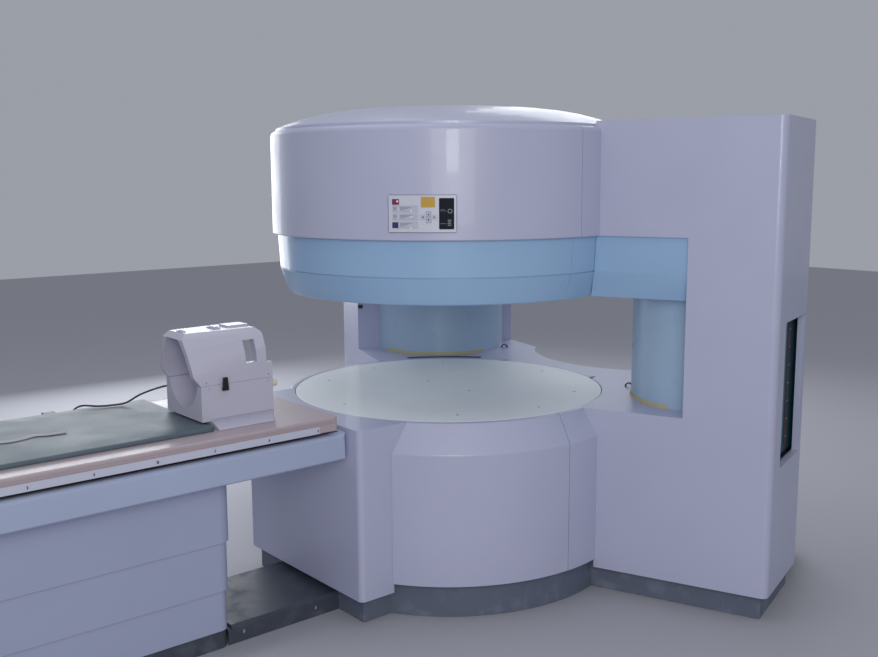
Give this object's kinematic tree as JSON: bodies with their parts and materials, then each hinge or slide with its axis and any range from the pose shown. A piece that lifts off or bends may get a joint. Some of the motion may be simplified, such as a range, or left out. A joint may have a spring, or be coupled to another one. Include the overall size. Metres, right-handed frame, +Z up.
{
  "type": "mri scanner",
  "caption": "Open magnetic resonance scanner: two-column magnet with round upper and lower poles, height-adjustable patient table with a sliding cradle, and a head coil.",
  "frame": {"origin": "on the floor under the axis of the magnet", "axes": "+X along the patient from the table through the magnet, +Y to the patient's far side as pictured, +Z up"},
  "size_m": [4.0963, 2.649, 1.89],
  "materials": {
    "housing_white": "satin painted moulding",
    "yoke_iron": "satin paint",
    "cast_iron_dark": "rough",
    "magnet_block": "ground",
    "coil_resin": "cast resin",
    "circuit_board": "laminate",
    "steel": "brushed",
    "skirt_dark": "matt",
    "column_blue": "satin",
    "band_blue": "satin",
    "cream_strip": "matt",
    "pole_cover": "satin",
    "pole_cover_upper": "satin",
    "screw_white": "satin",
    "panel_face": "printed membrane",
    "panel_keys": "printed membrane",
    "display_black": "gloss",
    "duct_dark": "matt",
    "drive_dark": "matt",
    "tier_white": "satin paint",
    "beam_white": "satin paint",
    "aluminium_rail": "anodised",
    "cradle_white": "satin",
    "runner_plastic": "matt",
    "strip_white": "satin",
    "pad_teal": "coated cloth",
    "strap_white": "woven",
    "coil_white": "satin",
    "latch_black": "satin",
    "knob_cream": "satin",
    "cable_black": "matt"
  },
  "bodies": {
    "scanner_frame": {"levelling_feet": "cast_iron_dark", "lower_yoke": "yoke_iron", "upper_yoke": "yoke_iron", "near_yoke_column": "yoke_iron", "far_yoke_column": "yoke_iron", "magnets": "magnet_block", "pole_pieces": "yoke_iron", "gradient_coils": "coil_resin", "transmit_coils": "circuit_board", "cover_posts": "steel", "base_skirt": "skirt_dark", "wing_cover": "housing_white", "near_side_cover": "housing_white", "far_side_cover": "housing_white", "rear_lower_cover": "housing_white", "rear_upper_cover": "housing_white", "near_arm_cover": "housing_white", "far_arm_cover": "housing_white", "near_column_cover": "column_blue", "far_column_cover": "column_blue", "column_foot_strips": "cream_strip", "hatch_frame": "housing_white", "lower_pole_cover": "pole_cover", "cover_screws": "screw_white", "upper_pole_cover": "pole_cover_upper", "drum_front_cover": "housing_white", "drum_top_cap": "housing_white", "drum_band": "band_blue", "near_arm_band": "band_blue", "far_arm_band": "band_blue", "control_panel": "panel_face", "panel_keys": "panel_keys", "panel_display": "display_black", "floor_duct": "duct_dark", "pedestal_base": "duct_dark", "lift_outer_tubes": "steel", "lift_drive": "drive_dark", "tier_3_cover": "tier_white"},
    "table_middle_stage": {"lift_middle_stage": "steel", "tier_2_cover": "tier_white"},
    "table_beam": {"lift_inner_tubes": "steel", "tier_1_cover": "tier_white", "table_beam": "beam_white", "beam_rails": "aluminium_rail", "cradle_drive": "drive_dark"},
    "cradle": {"cradle": "cradle_white", "cradle_runners": "runner_plastic", "cradle_side_strips": "strip_white", "strip_screws": "steel", "mattress": "pad_teal", "mattress_strap": "strap_white", "coil_base_plate": "coil_white", "coil_lower_shell": "coil_white", "coil_gland": "cable_black", "coil_cable": "cable_black", "coil_port": "cable_black"},
    "coil_top": {"coil_upper_shell": "coil_white"},
    "near_latch": {"near_coil_latch": "latch_black"},
    "far_latch": {"far_coil_latch": "latch_black"},
    "coil_knob": {"coil_knob": "knob_cream"}
  },
  "joints": [
    {"name": "table_lift", "type": "slide", "parent": "scanner_frame", "child": "table_beam", "axis": [0, 0, 1], "range_m": [-0.3, 0]},
    {"name": "table_middle_lift", "type": "slide", "parent": "scanner_frame", "child": "table_middle_stage", "axis": [0, 0, 1], "range_m": [-0.15, 0]},
    {"name": "cradle_slide", "type": "slide", "parent": "table_beam", "child": "cradle", "axis": [1, 0, 0], "range_m": [0, 1.3]},
    {"name": "coil_top_lift_off", "type": "slide", "parent": "cradle", "child": "coil_top", "axis": [0, 0, -1], "range_m": [-0.25, 0]},
    {"name": "near_latch_hinge", "type": "hinge", "parent": "cradle", "child": "near_latch", "pos_m": [-1.165, -0.196, 0.912], "axis": [-1, 0, 0], "range_deg": [-35, 0]},
    {"name": "far_latch_hinge", "type": "hinge", "parent": "cradle", "child": "far_latch", "pos_m": [-1.165, 0.076, 0.912], "axis": [1, 0, 0], "range_deg": [-35, 0]},
    {"name": "knob_turn", "type": "hinge", "parent": "cradle", "child": "coil_knob", "pos_m": [-0.975, -0.178, 0.903], "axis": [1, 0, 0], "range_deg": [-90, 90]}
  ],
  "couplings": [
    {"joint": "table_middle_lift", "follows": "table_lift", "ratio": 0.5}
  ]
}
